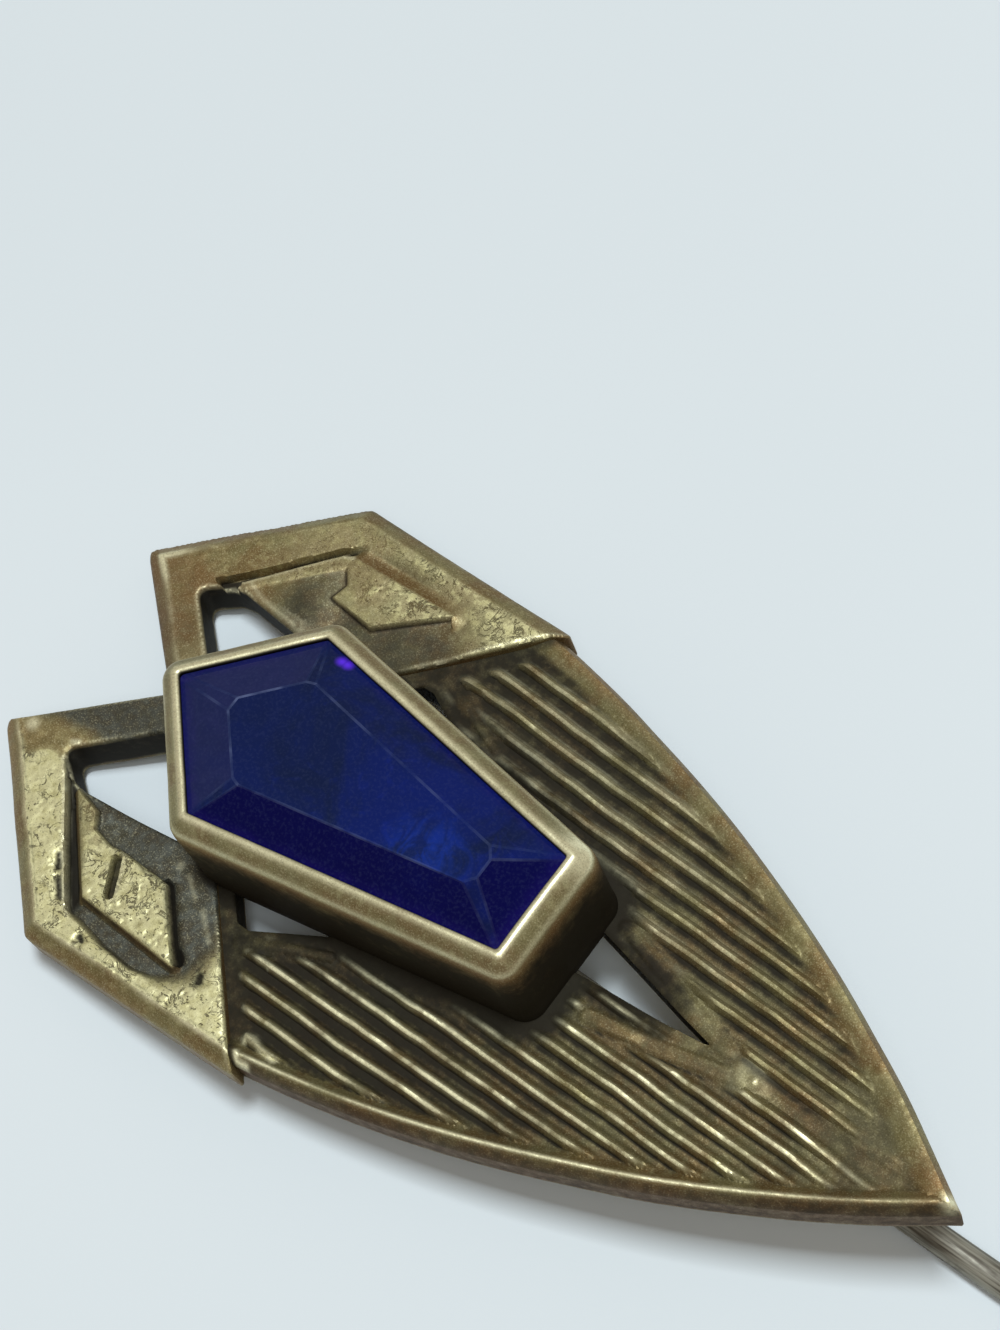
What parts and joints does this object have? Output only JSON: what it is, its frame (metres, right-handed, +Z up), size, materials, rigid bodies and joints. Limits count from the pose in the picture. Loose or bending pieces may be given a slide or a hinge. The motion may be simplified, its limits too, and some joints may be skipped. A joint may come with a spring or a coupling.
{
  "type": "stick pin",
  "caption": "Stick pin with a pierced metal head of two angular wings over a ribbed pointed shield, a pentagonal faceted stone in a tall bezel, and a straight stem.",
  "frame": {"origin": "middle of the pin's length, on the surface it lies on, under the head's middle plane", "axes": "+X along the stem towards its point, +Y across the head, +Z up from the surface, out of the head's face"},
  "size_m": [0.0749, 0.0158, 0.007],
  "materials": {
    "head": "antique olive brass with dark patina in the recesses and worn gilding on one wing",
    "stone": "polished deep blue",
    "pin_stem": "dull grey steel wire"
  },
  "bodies": {
    "root": {"head": "head", "stone": "stone", "pin_stem": "pin_stem"}
  },
  "joints": []
}
